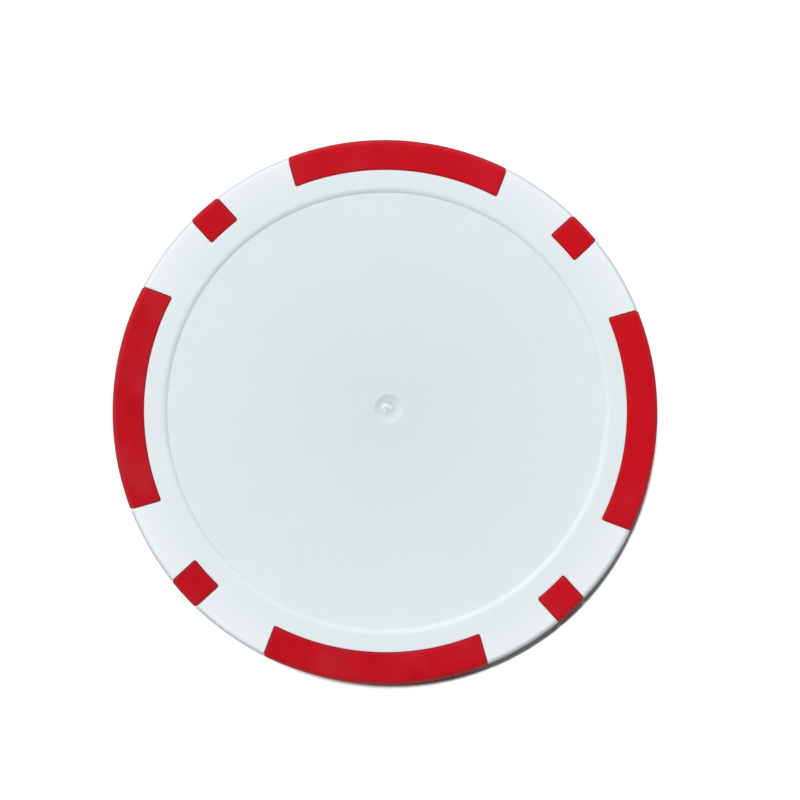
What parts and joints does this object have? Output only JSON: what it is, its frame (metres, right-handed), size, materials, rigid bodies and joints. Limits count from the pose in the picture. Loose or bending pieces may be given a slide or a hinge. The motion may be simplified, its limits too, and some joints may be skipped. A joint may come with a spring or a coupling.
{
  "type": "golf ball marker",
  "caption": "Round poker-chip style golf ball marker: white moulded disc with red edge inlays, a shallow label recess on each face and a hidden steel slug.",
  "frame": {"origin": "on the chip's axis, at the plane of the lower rim, which the chip lies on", "axes": "+Z along the chip's axis, up through the face with the gate mark; +X towards the middle of the first long edge spot"},
  "size_m": [0.04, 0.04, 0.0033],
  "materials": {
    "white_plastic": "satin",
    "red_plastic": "satin",
    "slug_steel": "satin"
  },
  "bodies": {
    "root": {"body": "white_plastic", "edge_spot_long_1": "red_plastic", "edge_spot_long_2": "red_plastic", "edge_spot_long_3": "red_plastic", "edge_spot_long_4": "red_plastic", "edge_spot_square_1": "red_plastic", "edge_spot_square_2": "red_plastic", "edge_spot_square_3": "red_plastic", "edge_spot_square_4": "red_plastic", "steel_slug": "slug_steel"}
  },
  "joints": []
}
